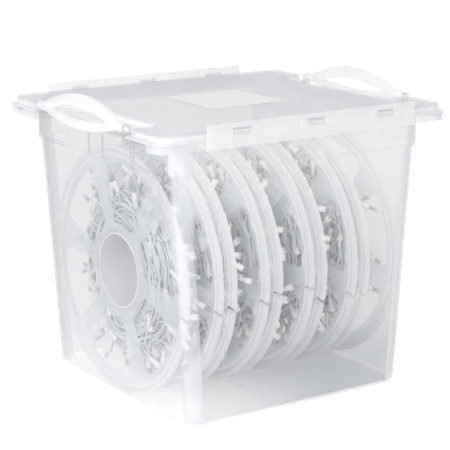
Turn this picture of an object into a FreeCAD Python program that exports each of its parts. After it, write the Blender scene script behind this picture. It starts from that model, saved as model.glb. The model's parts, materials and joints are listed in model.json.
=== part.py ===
"""Light-string storage box: a tapered tote with a lift-off lid, two rocker latches, two ring
handles and five two-part reels wound with mini lamps.

Frame: origin at the centre of the tote's underside, +Z up, +X along the reel axes, front latch at -Y.
All lengths are millimetres and all angles are degrees.
"""
import FreeCAD, Part
import Sketcher
import math
import os

doc = FreeCAD.newDocument("light_string_box")
sheet = doc.addObject("Spreadsheet::Sheet", "sizes")


class Size:
    """A dimension: the number it has now and the expression that ties it to the sheet."""

    def __init__(self, number, text):
        self.number = float(number)
        self.text = text

    def _join(self, sign, other, number):
        return Size(number, f"({self.text} {sign} {words(other)})")

    def __add__(self, other):
        return self._join("+", other, self.number + plain(other))

    def __sub__(self, other):
        return self._join("-", other, self.number - plain(other))

    def __mul__(self, other):
        return self._join("*", other, self.number * plain(other))

    def __truediv__(self, other):
        return self._join("/", other, self.number / plain(other))

    def __neg__(self):
        return Size(-self.number, f"(0 - {self.text})")


def plain(value):
    """The number behind a Size or a bare number."""
    return value.number if isinstance(value, Size) else float(value)


def words(value):
    """The expression behind a Size or a bare number."""
    return value.text if isinstance(value, Size) else repr(float(value))


SIZES = {
    # tote, built round the row of reels
    "reel_end_room": 5, "reel_side_room": 4, "draft_length": 20, "draft_depth": 2.5, "head_room": 30.7,
    "wall": 2.2, "floor_thickness": 3.0, "corner_radius": 25.5, "foot_bevel": 5,
    "collar_height": 40, "collar_step": 3.6, "recess_half": 79, "recess_proud": 0.6, "recess_round": 2,
    # rim flange round the mouth of the tote
    "rim_end_reach": 27, "rim_side_reach": 20.5, "rim_corner": 20, "rim_plate": 2.2,
    "lip_drop": 9, "lip_wall": 2.0, "catch_ledge": 1.2,
    "grip_half": 100, "grip_depth": 23, "grip_round": 9, "grip_mouth": 5,
    "cheek": 3.2, "cheek_round": 5.5, "gusset": 2.4, "gusset_drop": 26, "gusset_spread": 16,
    # lid
    "seat_gap": 0.3, "lid_panel": 2.2, "lid_wall": 2.0, "top_rise": 10.5, "top_inset": 6.5,
    "top_bay_depth": 45, "top_mouth": 6, "top_round": 12, "rib_drop": 7, "rib_wall": 2.0, "rib_gap": 1.5,
    "side_gap": 1.8,
    # rocker latches and their hinge lugs on the lid
    "strip_half": 147, "strip_under": 8.5, "strip_over": 19, "strip_wall": 2.5,
    "strip_offset": 1.2, "hinge_offset": 2.5, "hinge_rise": 9.5, "lug_pitch": 102, "lug_half": 12,
    "lug_radius": 4, "lug_web": 3, "bar_radius": 2, "running_gap": 0.08, "clip_slot": 3.4,
    "lug_end_gap": 2, "window_rise": 4.5, "knuckle": 7, "knuckle_out": 5,
    "bead_rise": 1.4, "bead_drop": 0.4, "bead_gap": 0.3,
    # ring handles
    "ring_end_gap": 5, "ring_over": 25, "ring_under": 15.2, "ring_end_land": 31, "hole_over": 11,
    "hole_under": 4, "ring_thickness": 7, "boss_radius": 5.6, "boss_length": 14, "pin_radius": 3,
    "pivot_rise": 9, "end_gap": 0.5, "pin_gap": 0.3, "ring_lean": 10,
    # reels
    "reel_gap_between": 15, "reel_width": 50, "reel_radius": 152, "reel_gap": 0.3, "flange": 2.2,
    "rim_band": 13, "rim_thickness": 4, "hub_bore": 43.9, "sleeve_wall": 2.45, "hub_wall": 2.4,
    "sleeve_gap": 0.25, "end_play": 0.3, "window_foot": 8, "window_land": 7,
    "window_spread": 21.5, "window_corner": 11, "window_turn": 18, "notch_width": 5.6, "notch_depth": 16,
    "feed_rib": 1.4, "feed_rise": 1.2, "feed_gap": 0.6, "feed_foot": 3,
    # wire and lamps on each reel
    "core_gap": 0.3, "pack_depth": 39, "core_side_gap": 2.8, "wire_radius": 2.1, "wire_lift": 0.2,
    "coil_inset": 3.5, "tail_rise": 7.5, "holder_base": 3.2, "holder_mouth": 4.2, "holder_length": 18,
    "holder_tilt": 50, "holder_gap": 0.25, "lamp_clear": 30, "bulb_radius": 2.6, "bulb_neck": 9,
    "bulb_tip": 5, "bulb_tip_radius": 0.9,
}
COUNTS = {"reels": 5, "turns": 7, "lamps": 18, "windows": 6}

for row, (alias, number) in enumerate({**SIZES, **COUNTS}.items(), 1):
    sheet.set(f"A{row}", alias)
    sheet.set(f"B{row}", str(number))
    sheet.setAlias(f"B{row}", alias)
doc.recompute()


class Sheet:
    """Every cell as an attribute that carries its number and its expression."""

    def __init__(self):
        for alias in {**SIZES, **COUNTS}:
            setattr(self, alias, Size(sheet.get(alias), f"sizes.{alias}"))


d = Sheet()
ZERO = Size(0, "0")

# main levels and half sizes that the pieces share
half_width = d.reel_width / 2
inner_face = half_width - d.flange
reel_pitch = d.reel_width + d.reel_gap_between
reel_axis = d.floor_thickness + d.reel_gap + d.reel_radius
base_x = reel_pitch * (d.reels - 1) / 2 + half_width + d.reel_end_room
base_y = d.reel_radius + d.reel_side_room
wall_x = base_x + d.draft_length
wall_y = base_y + d.draft_depth
rim_x = wall_x + d.rim_end_reach
rim_y = wall_y + d.rim_side_reach
rim_top = reel_axis + d.reel_radius + d.head_room
collar_bottom = rim_top - d.collar_height
hinge_height = rim_top + d.hinge_rise
pivot_height = rim_top + d.pivot_rise
strip_low = rim_top - d.strip_under
strip_high = rim_top + d.strip_over
window_low = hinge_height - d.window_rise
window_high = hinge_height + d.window_rise
window_half = d.lug_half + d.lug_end_gap
ring_half = d.grip_half - d.ring_end_gap
hub_inner = d.hub_bore + d.sleeve_wall + d.sleeve_gap
hub_outer = hub_inner + d.hub_wall
core_radius = hub_outer + d.pack_depth
core_half = inner_face - d.core_side_gap


def bind(thing, **links):
    """Tie properties of an object to the sheet; a double underscore stands for a dot."""
    for path, value in links.items():
        thing.setExpression(path.replace("__", "."), words(value))
    return thing


def place(thing, x, y, z):
    return bind(thing, Placement__Base__x=x, Placement__Base__y=y, Placement__Base__z=z)


def origin_part(body, role):
    return [item for item in body.Origin.OriginFeatures if item.Role == role][0]


def outline(body, name, role, corners, lift=ZERO):
    """Closed sketch through corners (x, y, radius); the sides at a rounded corner run along x or y."""
    sketch = body.newObject("Sketcher::SketchObject", name)
    sketch.AttachmentSupport = [(origin_part(body, role), "")]
    sketch.MapMode = "FlatFace"
    bind(sketch, AttachmentOffset__Base__z=lift)
    count = len(corners)
    ways = []
    for index in range(count):
        here, there = corners[index], corners[(index + 1) % count]
        dx, dy = plain(there[0]) - plain(here[0]), plain(there[1]) - plain(here[1])
        ways.append(tuple(math.copysign(1, step) if abs(step) > 1e-9 else 0 for step in (dx, dy)))
    stops = []
    for index, corner in enumerate(corners):
        x, y = corner[0], corner[1]
        radius = corner[2] if len(corner) > 2 else None
        if radius is None:
            stops.append(((x, y), (x, y), None))
            continue
        back, ahead = ways[index - 1], ways[index]
        stops.append(((x - radius * back[0], y - radius * back[1]),
                      (x + radius * ahead[0], y + radius * ahead[1]), radius))
    joints = []
    for index in range(count):
        start, end = stops[index][1], stops[(index + 1) % count][0]
        points = [FreeCAD.Vector(plain(p[0]), plain(p[1]), 0) for p in (start, end)]
        line = sketch.addGeometry(Part.LineSegment(points[0], points[1]), False)
        joints.append((line, start, end))
    for index in range(count):
        line, start, end = joints[index]
        after = (index + 1) % count
        radius = stops[after][2]
        if radius is None:
            sketch.addConstraint(Sketcher.Constraint("Coincident", line, 2, joints[after][0], 1))
            hold = [(1, start)]
        else:
            ahead, behind = ways[after], ways[index]
            corner = corners[after]
            r = plain(radius)
            px, py = plain(corner[0]), plain(corner[1])
            inward = FreeCAD.Vector(ahead[0] - behind[0], ahead[1] - behind[1], 0)
            middle = FreeCAD.Vector(px, py, 0) + inward * (r * (1 - math.sqrt(0.5)))
            first = FreeCAD.Vector(plain(end[0]), plain(end[1]), 0)
            second = FreeCAD.Vector(plain(stops[after][1][0]), plain(stops[after][1][1]), 0)
            left_turn = behind[0] * ahead[1] - behind[1] * ahead[0] > 0
            curve = Part.Arc(first, middle, second) if left_turn else Part.Arc(second, middle, first)
            arc = sketch.addGeometry(curve, False)
            near_end, far_end = (1, 2) if left_turn else (2, 1)
            sketch.addConstraint(Sketcher.Constraint("Coincident", line, 2, arc, near_end))
            sketch.addConstraint(Sketcher.Constraint("Coincident", joints[after][0], 1, arc, far_end))
            held = sketch.addConstraint(Sketcher.Constraint("Radius", arc, r))
            bind_constraint(sketch, held, radius)
            hold = [(1, start), (2, end)]
        if radius is not None and stops[index][2] is None:
            hold = [(1, start), (2, end)]
        for vertex, point in hold:
            for kind, value in (("DistanceX", point[0]), ("DistanceY", point[1])):
                held = sketch.addConstraint(Sketcher.Constraint(kind, -1, 1, line, vertex, plain(value)))
                bind_constraint(sketch, held, value)
    return sketch


def bind_constraint(sketch, index, value):
    if isinstance(value, Size) and "sizes." in value.text:
        sketch.setExpression(f"Constraints[{index}]", value.text)


def rectangle(half_x, half_y, radius):
    return [(half_x, half_y, radius), (-half_x, half_y, radius),
            (-half_x, -half_y, radius), (half_x, -half_y, radius)]


def notched(half_x, half_y, radius, notch_x, notch_half, mouth, inner):
    """A rounded rectangle with a straight-sided bay in each end."""
    return [
        (half_x, half_y, radius), (-half_x, half_y, radius), (-half_x, notch_half, mouth),
        (-notch_x, notch_half, inner), (-notch_x, -notch_half, inner), (-half_x, -notch_half, mouth),
        (-half_x, -half_y, radius),
        (half_x, -half_y, radius), (half_x, -notch_half, mouth), (notch_x, -notch_half, inner),
        (notch_x, notch_half, inner), (half_x, notch_half, mouth)]


def slab(name, corners, low, height):
    """A body: one outline padded upwards from a height."""
    body = doc.addObject("PartDesign::Body", name)
    pad = body.newObject("PartDesign::Pad", name + "_pad")
    pad.Profile = outline(body, name + "_outline", "XY_Plane", corners, low)
    bind(pad, Length=height)
    return body


def box(name, x, y, z, length, width, height):
    block = doc.addObject("Part::Box", name)
    bind(block, Length=length, Width=width, Height=height)
    return place(block, x, y, z)


TURNS = {
    "x": FreeCAD.Rotation(FreeCAD.Vector(0, 1, 0), 90),
    "y": FreeCAD.Rotation(FreeCAD.Vector(1, 0, 0), -90),
    "z": FreeCAD.Rotation(),
}


def rod(name, axis, radius, length, x, y, z):
    """A cylinder from a point, running along +x, +y or +z."""
    shaft = doc.addObject("Part::Cylinder", name)
    shaft.Placement = FreeCAD.Placement(FreeCAD.Vector(), TURNS[axis])
    bind(shaft, Radius=radius, Height=length)
    return place(shaft, x, y, z)


def gather(kind, name, things):
    group = doc.addObject(kind, name)
    group.Shapes = things
    return group


def fuse(name, *things):
    return gather("Part::MultiFuse", name, list(things))


def common(name, *things):
    return gather("Part::MultiCommon", name, list(things))


def cut(name, base, tool):
    result = doc.addObject("Part::Cut", name)
    result.Base = base
    result.Tool = tool
    return result


def mirrored(name, source, normal):
    """A mirror copy about a plane through the origin."""
    copy = doc.addObject("Part::Mirroring", name)
    copy.Source = source
    copy.Base = FreeCAD.Vector()
    copy.Normal = normal
    return copy


ACROSS_X = FreeCAD.Vector(1, 0, 0)
ACROSS_Y = FreeCAD.Vector(0, 1, 0)
pieces = {}

# tote: tapered wall, stepped collar, rim flange with a turned-down lip, cheeks for the handle pins
taper_x = d.draft_length / collar_bottom
taper_y = d.draft_depth / collar_bottom


def wall_section(height, inset, radius):
    """The tapered wall's outline at a height, drawn in by an inset."""
    half_x = base_x + taper_x * height - inset
    half_y = base_y + taper_y * height - inset
    return rectangle(half_x, half_y, radius)


def collar_section(inset):
    half_x = wall_x + d.collar_step - inset
    half_y = wall_y + d.collar_step - inset
    bay = wall_x + d.recess_proud - inset
    radius = d.corner_radius + d.collar_step - inset
    small = d.recess_round / 2
    return notched(half_x, half_y, radius, bay, d.recess_half + inset, small, small)


shell = doc.addObject("PartDesign::Body", "tote_shell")
walls = shell.newObject("PartDesign::AdditiveLoft", "walls")
walls.Profile = outline(shell, "foot", "XY_Plane", wall_section(ZERO, d.foot_bevel * 0.7, d.corner_radius))
walls.Sections = [
    outline(shell, "ankle", "XY_Plane", wall_section(d.foot_bevel, ZERO, d.corner_radius), d.foot_bevel),
    outline(shell, "waist", "XY_Plane", wall_section(collar_bottom, ZERO, d.corner_radius),
            collar_bottom)]
walls.Ruled = True
collar = shell.newObject("PartDesign::Pad", "collar")
collar.Profile = outline(shell, "collar_outline", "XY_Plane", collar_section(ZERO), collar_bottom)
bind(collar, Length=rim_top - collar_bottom)
inner_round = d.corner_radius - d.wall
ledge = collar_bottom + d.wall
cavity = shell.newObject("PartDesign::SubtractiveLoft", "cavity")
cavity.Profile = outline(shell, "cavity_floor", "XY_Plane",
                         wall_section(d.floor_thickness, d.wall + d.foot_bevel * 0.5, inner_round),
                         d.floor_thickness)
cavity.Sections = [
    outline(shell, "cavity_knee", "XY_Plane",
            wall_section(d.floor_thickness + d.foot_bevel * 0.7, d.wall, inner_round),
            d.floor_thickness + d.foot_bevel * 0.7),
    outline(shell, "cavity_top", "XY_Plane", wall_section(ledge, d.wall, inner_round), ledge)]
cavity.Ruled = True
mouth = shell.newObject("PartDesign::Pocket", "mouth")
mouth.Profile = outline(shell, "mouth_outline", "XY_Plane", collar_section(d.wall), rim_top)
bind(mouth, Length=rim_top - ledge)


def rim_section(inset, widen=ZERO):
    """The rim's outline drawn in by an inset; the bays can be widened for the lid."""
    return notched(rim_x - inset, rim_y - inset, d.rim_corner - inset,
                   rim_x - d.grip_depth - inset, d.grip_half + widen + inset, d.grip_mouth - inset,
                   d.grip_round + inset)


lip_low = rim_top - d.lip_drop
rim_plate = slab("rim_plate", rim_section(ZERO), rim_top - d.rim_plate, d.rim_plate)
rim_lip = slab("rim_lip", rim_section(d.catch_ledge), lip_low, d.lip_drop)
rim_under = slab("rim_under", rim_section(d.catch_ledge + d.lip_wall), lip_low - 1,
                 d.lip_drop + 1 - d.rim_plate)
rim_hole = slab("rim_hole", collar_section(d.wall / 2), lip_low - 1, d.lip_drop + 2)
rim = cut("rim", fuse("rim_solid", rim_plate, rim_lip), fuse("rim_hollow", rim_under, rim_hole))

bore = d.pin_radius + d.running_gap
pivot_x = rim_x - d.cheek_round
cheek_block = box("cheek_block", pivot_x - d.cheek_round, d.grip_half, lip_low, d.cheek_round * 2, d.cheek,
                  pivot_height - lip_low)
cheek_head = rod("cheek_head", "y", d.cheek_round, d.cheek, pivot_x, d.grip_half, pivot_height)
cheek_bore = rod("cheek_bore", "y", bore, d.cheek + 4, pivot_x, d.grip_half - 2, pivot_height)
cheek = fuse("cheek_solid", cheek_block, cheek_head)
cheek_far = mirrored("cheek_far", cheek, ACROSS_Y)
cheek_bore_far = mirrored("cheek_bore_far", cheek_bore, ACROSS_Y)
gussets = [
    box("gusset_" + side, wall_x - d.wall / 2, middle - d.gusset / 2, collar_bottom + 1,
        d.collar_step + d.wall / 2, d.gusset, d.gusset_drop)
    for side, middle in (("near", -d.gusset_spread), ("far", d.gusset_spread))]
right_fittings = fuse("right_fittings", cheek, cheek_far, *gussets)
left_fittings = mirrored("left_fittings", right_fittings, ACROSS_X)
right_bores = fuse("right_bores", cheek_bore, cheek_bore_far)
left_bores = mirrored("left_bores", right_bores, ACROSS_X)
tote_solid = fuse("tote_solid", shell, rim, right_fittings, left_fittings)
pieces["tote"] = cut("tote_piece", tote_solid, fuse("pin_bores", right_bores, left_bores))

# lid: seat flange, flat raised top with a bay behind each handle, locating rib, clip lugs for the latches
lid_low = rim_top + d.seat_gap
widen = d.cheek + d.side_gap
top_high = lid_low + d.top_rise


def top_section(inset):
    """The raised top's outline drawn in by an inset; its bays leave room for fingers behind the handles."""
    side = d.grip_half + widen + d.top_inset + inset
    return notched(rim_x - d.top_inset - inset, rim_y - d.top_inset - inset,
                   d.rim_corner - d.top_inset - inset, rim_x - d.top_bay_depth - inset, side,
                   d.top_mouth - inset, d.top_round + inset)


seat = slab("lid_seat", rim_section(ZERO, widen), lid_low, d.lid_panel)
top = slab("lid_top", top_section(ZERO), lid_low, d.top_rise)
top_hollow = slab("lid_hollow", top_section(d.lid_wall), lid_low - 1, d.top_rise + 1 - d.lid_panel)
rib_inset = d.wall + d.rib_gap


def rib_section(inset):
    half_x = wall_x - inset
    half_y = wall_y + d.collar_step - inset
    return rectangle(half_x, half_y, d.corner_radius - inset)


rib_low = lid_low - d.rib_drop
rib_high = d.rib_drop + d.top_rise - d.lid_panel / 2
rib_ring = cut("rib_ring", slab("rib_out", rib_section(rib_inset), rib_low, rib_high),
               slab("rib_in", rib_section(rib_inset + d.rib_wall), rib_low - 1, rib_high + 2))
rib_band = box("rib_band", -rim_x, -rim_y, rib_low, rim_x * 2, rim_y * 2, d.rib_drop + 1)
rib = common("rib", rib_ring, fuse("rib_reach", rib_band, top))
axis_y = rim_y + d.hinge_offset
lug_things = []
bore_things = []
for number in (-1, 0, 1):
    tag = f"{number + 2}"
    start = d.lug_pitch * number - d.lug_half
    length = d.lug_half * 2
    lug_things.append(box("lug_web_" + tag, start, -rim_y, lid_low, length, d.lug_web,
                          hinge_height - lid_low))
    lug_things.append(rod("lug_barrel_" + tag, "x", d.lug_radius, length, start, -axis_y, hinge_height))
    bore_things.append(rod("lug_bore_" + tag, "x", d.bar_radius + d.running_gap, length + 2,
                           start - 1, -axis_y, hinge_height))
    bore_things.append(box("lug_slot_" + tag, start - 1, -axis_y - d.lug_radius - 2,
                           hinge_height - d.clip_slot / 2, length + 2, d.lug_radius + 2, d.clip_slot))
front_lugs = cut("front_lugs", fuse("front_lug_solid", *lug_things), fuse("front_lug_bores", *bore_things))
rear_lugs = mirrored("rear_lugs", front_lugs, ACROSS_Y)
lid_solid = cut("lid_solid", fuse("lid_plates", seat, top), top_hollow)
pieces["lid"] = fuse("lid_piece", lid_solid, rib, front_lugs, rear_lugs)

# rocker latches: a long strip with three windows, knuckles and bars that snap into the lid's lugs
strip_in = rim_y + d.strip_offset
strip_out = strip_in + d.strip_wall
strip = box("strip", -d.strip_half, -strip_out, strip_low, d.strip_half * 2, d.strip_wall,
            strip_high - strip_low)
bead_low = rim_top - d.rim_plate - d.bead_drop - d.bead_rise
bead = box("bead", -d.strip_half, -strip_in - d.strip_wall / 2, bead_low, d.strip_half * 2,
           d.strip_offset - d.bead_gap + d.strip_wall / 2, d.bead_rise)
rail = box("rail", -d.strip_half, -strip_out - 1.2, strip_high - 1.6, d.strip_half * 2, d.strip_wall, 1.6)
windows = []
knuckles = []
for number in (-1, 0, 1):
    tag = f"{number + 2}"
    middle = d.lug_pitch * number
    windows.append(box("window_" + tag, middle - window_half, -strip_out - 5, window_low,
                       window_half * 2, d.strip_wall + 10, window_high - window_low))
    for side, start in (("near", middle - window_half - d.knuckle), ("far", middle + window_half)):
        knuckles.append(box(f"knuckle_{tag}_{side}", start, -rim_y - d.knuckle_out - 1, window_low - 1,
                            d.knuckle, d.knuckle_out + 0.2, window_high - window_low + 2))
    knuckles.append(rod("bar_" + tag, "x", d.bar_radius, window_half * 2 + 2, middle - window_half - 1,
                        -axis_y, hinge_height))
strip_open = cut("strip_open", fuse("strip_solid", strip, bead, rail), fuse("strip_windows", *windows))
pieces["front_latch"] = fuse("front_latch_piece", strip_open, *knuckles)
pieces["rear_latch"] = mirrored("rear_latch_piece", pieces["front_latch"], ACROSS_Y)

# ring handles: a lens-shaped ring with an end boss and a pin at each end


def lens(name, half, over, under, thickness):
    """Two arcs through the same two points, as the common part of two flat discs."""
    discs = []
    for side, rise, way in (("over", over, -1), ("under", under, 1)):
        radius = (half * half + rise * rise) / (rise * 2)
        discs.append(rod(f"{name}_{side}", "x", radius, thickness, -(thickness / 2), ZERO,
                         (radius - rise) * way))
    return common(name, *discs)


for side, turn in (("left", 180), ("right", 0)):
    outer = lens(side + "_outer", ring_half, d.ring_over, d.ring_under, d.ring_thickness)
    hole = lens(side + "_hole", ring_half - d.ring_end_land, d.hole_over, d.hole_under, d.ring_thickness + 2)
    ring = cut(side + "_ring", outer, hole)
    pin_end = d.grip_half + d.cheek - d.pin_gap
    boss_end = d.grip_half - d.end_gap
    studs = []
    pin_length = pin_end - boss_end + 1
    starts = (("near", -boss_end, -pin_end), ("far", boss_end - d.boss_length, boss_end - 1))
    for way, from_boss, from_pin in starts:
        studs.append(rod(f"{side}_boss_{way}", "y", d.boss_radius, d.boss_length, ZERO, from_boss, ZERO))
        studs.append(rod(f"{side}_pin_{way}", "y", d.pin_radius, pin_length, ZERO, from_pin, ZERO))
    handle = fuse(side + "_handle_piece", ring, *studs)
    lean = FreeCAD.Rotation(FreeCAD.Vector(0, 1, 0), -d.ring_lean.number)
    facing = FreeCAD.Rotation(FreeCAD.Vector(0, 0, 1), turn)
    handle.Placement = FreeCAD.Placement(FreeCAD.Vector(), facing * lean)
    place(handle, -pivot_x if turn else pivot_x, ZERO, pivot_height)
    pieces[side + "_handle"] = handle

# reels: two halves with six windows each, a sleeve telescoping in the other, and the wire on them
feed_start = hub_outer + d.feed_foot
rim_inner = d.reel_radius - d.rim_band


def polar(radius, angle):
    return FreeCAD.Vector(radius * math.cos(angle), radius * math.sin(angle), 0)


def sector(body, name, low, high, spread, corner):
    """A sketch of one flange window: two radial sides, an inner and an outer arc, four rounded corners."""
    sketch = body.newObject("Sketcher::SketchObject", name)
    sketch.AttachmentSupport = [(origin_part(body, "YZ_Plane"), "")]
    sketch.MapMode = "FlatFace"
    inner, outer, half, bend = low.number, high.number, math.radians(spread.number), corner.number
    shy_in = half - math.asin(bend / (inner + bend))
    shy_out = half - math.asin(bend / (outer - bend))
    run_in = math.sqrt((inner + bend) ** 2 - bend ** 2)
    run_out = math.sqrt((outer - bend) ** 2 - bend ** 2)
    sketch.addGeometry(Part.Arc(polar(outer, -shy_out), polar(outer, 0), polar(outer, shy_out)), False)
    sketch.addGeometry(Part.Arc(polar(inner, -shy_in), polar(inner, 0), polar(inner, shy_in)), False)
    sketch.addGeometry(Part.LineSegment(polar(run_in, half), polar(run_out, half)), False)
    sketch.addGeometry(Part.LineSegment(polar(run_in, -half), polar(run_out, -half)), False)
    for middle, shy, near, far in (
            (outer - bend, shy_out, polar(outer, shy_out), polar(run_out, half)),
            (inner + bend, shy_in, polar(run_in, half), polar(inner, shy_in)),
            (inner + bend, -shy_in, polar(inner, -shy_in), polar(run_in, -half)),
            (outer - bend, -shy_out, polar(run_out, -half), polar(outer, -shy_out))):
        centre = polar(middle, shy)
        way = (near + far) * 0.5 - centre
        way.normalize()
        sketch.addGeometry(Part.Arc(near, centre + way * bend, far), False)
    for first, first_end, second, second_end in (
            (0, 2, 4, 1), (4, 2, 2, 2), (2, 1, 5, 1), (5, 2, 1, 2),
            (1, 1, 6, 1), (6, 2, 3, 1), (3, 2, 7, 1), (7, 2, 0, 1)):
        sketch.addConstraint(Sketcher.Constraint("Tangent", first, first_end, second, second_end))
    for arc, radius in ((0, high), (1, low)):
        sketch.addConstraint(Sketcher.Constraint("Coincident", arc, 3, -1, 1))
        held = sketch.addConstraint(Sketcher.Constraint("Radius", arc, radius.number))
        bind_constraint(sketch, held, radius)
    for line in (2, 3):
        sketch.addConstraint(Sketcher.Constraint("PointOnObject", -1, 1, line))
    for line, way in ((2, 1), (3, -1)):
        held = sketch.addConstraint(Sketcher.Constraint("Angle", -1, 1, line, 1, way * half))
        bind_constraint(sketch, held, spread * way)
    for arc in (5, 6, 7):
        sketch.addConstraint(Sketcher.Constraint("Equal", 4, arc))
    held = sketch.addConstraint(Sketcher.Constraint("Radius", 4, bend))
    bind_constraint(sketch, held, corner)
    return sketch


def round_axis(body, sketch, name, angle, count, rise=None, inward=1):
    """Cut a sketch through a flange, or raise it as a rib, and repeat it round the reel's axis."""
    half_turn = FreeCAD.Rotation(FreeCAD.Vector(0, 0, 1), 180)
    sketch.AttachmentOffset = FreeCAD.Placement(FreeCAD.Vector(), half_turn)
    bind(sketch, AttachmentOffset__Rotation__Angle=-angle + 180)
    feature = body.newObject("PartDesign::Pad" if rise else "PartDesign::Pocket", name)
    feature.Profile = sketch
    if rise:
        bind(feature, Length=rise)
        feature.Reversed = inward < 0
    else:
        feature.Type = 1
        feature.Midplane = True
    pattern = body.newObject("PartDesign::PolarPattern", name + "s")
    pattern.Originals = [feature]
    pattern.Axis = (origin_part(body, "X_Axis"), [""])
    pattern.Angle = 360
    bind(pattern, Occurrences=count)
    body.Tip = pattern


def reel_half(name, near):
    """One half: a turned flange with its sleeve, ribs that lead the wire, six windows and two notches."""
    body = doc.addObject("PartDesign::Body", name)
    way = -1 if near else 1
    sleeve_out = hub_outer if near else hub_inner - d.sleeve_gap
    sleeve_in = hub_inner if near else d.hub_bore
    tip = (inner_face - d.end_play) * -way
    rim_face = half_width - d.rim_thickness
    profile = [
        (half_width * way, d.hub_bore), (half_width * way, d.reel_radius),
        (rim_face * way, d.reel_radius), (rim_face * way, rim_inner), (inner_face * way, rim_inner),
        (inner_face * way, sleeve_out), (tip, sleeve_out), (tip, sleeve_in)]
    if near:
        profile += [(inner_face * way, sleeve_in), (inner_face * way, d.hub_bore)]
    turned = body.newObject("PartDesign::Revolution", name + "_turned")
    turned.Profile = outline(body, name + "_profile", "XY_Plane", profile)
    turned.ReferenceAxis = (origin_part(body, "X_Axis"), [""])
    turned.Angle = 360
    twice = Size(2, "2")
    notch_turn = d.window_turn - 180 / d.windows.number
    side = d.notch_width / 2
    for tag, low in (("low", -side - d.feed_gap - d.feed_rib), ("high", side + d.feed_gap)):
        end = rim_inner + 0.5
        corners = [(feed_start, low), (end, low), (end, low + d.feed_rib), (feed_start, low + d.feed_rib)]
        sketch = outline(body, f"{name}_{tag}_rib_outline", "YZ_Plane", corners, (inner_face + 0.5) * way)
        round_axis(body, sketch, f"{name}_{tag}_rib", notch_turn, twice, d.feed_rise + 0.5, -way)
    sketch = sector(body, name + "_window_outline", hub_outer + d.window_foot, rim_inner - d.window_land,
                    d.window_spread, d.window_corner)
    round_axis(body, sketch, name + "_window", d.window_turn, d.windows)
    low, high = d.reel_radius - d.notch_depth, d.reel_radius + 2
    sketch = outline(body, name + "_notch_outline", "YZ_Plane",
                     [(low, -side), (high, -side), (high, side), (low, side)])
    round_axis(body, sketch, name + "_notch", notch_turn, twice)
    return body


def biarc(start, start_way, end, end_way):
    """Two tangent arcs from one point and direction to another."""
    reach = end - start
    both = start_way + end_way
    bend = 2 * (1 - start_way.dot(end_way))
    along = reach.dot(both)
    span = (-along + math.sqrt(along * along + bend * reach.dot(reach))) / bend
    first_apex = start + start_way * span
    second_apex = end - end_way * span
    middle = (first_apex + second_apex) * 0.5
    edges = []
    for here, apex, there in ((start, first_apex, middle), (middle, second_apex, end)):
        into, out = apex - here, there - apex
        angle = into.getAngle(out)
        radius = span / math.tan(angle / 2)
        inward = ((here + there) * 0.5 - apex)
        inward.normalize()
        crown = apex + inward * (radius * (1 / math.cos(angle / 2) - 1))
        edges.append(Part.Arc(here, crown, there).toShape())
    return edges


def turn_gap(wire, turns):
    """The least gap between neighbouring turns, measured on points along the wire."""
    steps = 360
    points = wire.discretize(steps * turns)
    near = range(steps * 9 // 10, steps * 11 // 10)
    least = min(point.distanceToPoint(points[index + step])
                for index, point in enumerate(points) for step in near if index + step < len(points))
    return least - 2 * d.wire_radius.number


def coil():
    """The outer layer of turns as one unbroken tube with a straight tail at either end."""
    turns = int(d.turns.number)
    half = (core_half - d.coil_inset).number
    pitch = 2 * half / turns
    quarters = 4 * turns
    middle = core_radius.number + d.wire_lift.number + d.wire_radius.number
    points = []
    for quarter in range(quarters + 1):
        angle = quarter * math.pi / 2
        near_end = max(0, 1 - quarter / 2) - max(0, 1 - (quarters - quarter) / 2)
        radius = middle + d.tail_rise.number * near_end ** 2
        climb = -abs(near_end) * d.tail_rise.number / (math.pi / 2) * (1 if near_end > 0 else -1)
        out = FreeCAD.Vector(0, -math.cos(angle), math.sin(angle))
        round_way = FreeCAD.Vector(0, math.sin(angle), math.cos(angle))
        way = FreeCAD.Vector(pitch / (2 * math.pi), 0, 0) + round_way * radius + out * climb
        way.normalize()
        points.append((FreeCAD.Vector(-half + pitch * quarter / 4, 0, 0) + out * radius, way))
    tail = 2 * d.wire_radius.number
    first, last = points[0], points[-1]
    begin = first[0] - first[1] * tail
    finish = last[0] + last[1] * tail
    edges = [Part.LineSegment(begin, first[0]).toShape()]
    for (here, way), (there, way_on) in zip(points, points[1:]):
        edges += biarc(here, way, there, way_on)
    edges.append(Part.LineSegment(last[0], finish).toShape())
    wire = Part.Wire(edges)
    least_gap = turn_gap(wire, turns)
    print(f"coil: {turns} turns, length {wire.Length:.0f} mm, least gap between turns {least_gap:.2f} mm")
    ring = Part.Wire([Part.makeCircle(d.wire_radius.number, begin, first[1])])
    tube = wire.makePipeShell([ring], True, False)
    return tube, (begin, first[1] * -1), (finish, last[1])


def lamp_places(ends_of_coil):
    """Where each lamp holder starts and which way it points: one on either tail, the rest over the turns."""
    places = list(ends_of_coil)
    count = int(d.lamps.number)
    tilt = math.radians(d.holder_tilt.number)
    outside = core_radius.number + d.wire_lift.number + 2 * d.wire_radius.number
    lift = d.holder_gap.number + d.holder_base.number * math.cos(tilt)
    half = (core_half - d.coil_inset).number
    span = (360 - 2 * d.lamp_clear.number) / (count - 2)
    for index in range(count - 2):
        angle = math.radians(d.lamp_clear.number + span * (index + 0.5))
        out = FreeCAD.Vector(0, -math.cos(angle), math.sin(angle))
        along = FreeCAD.Vector(0, math.sin(angle), math.cos(angle))
        across = half * 0.6 * (-1, 0.35, -0.3, 1, -0.65, 0.1)[index % 6]
        at = out * (outside + lift) + FreeCAD.Vector(across, 0, 0)
        way = along * math.cos(tilt) + out * math.sin(tilt)
        places.append((at, way))
    return places


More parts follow.
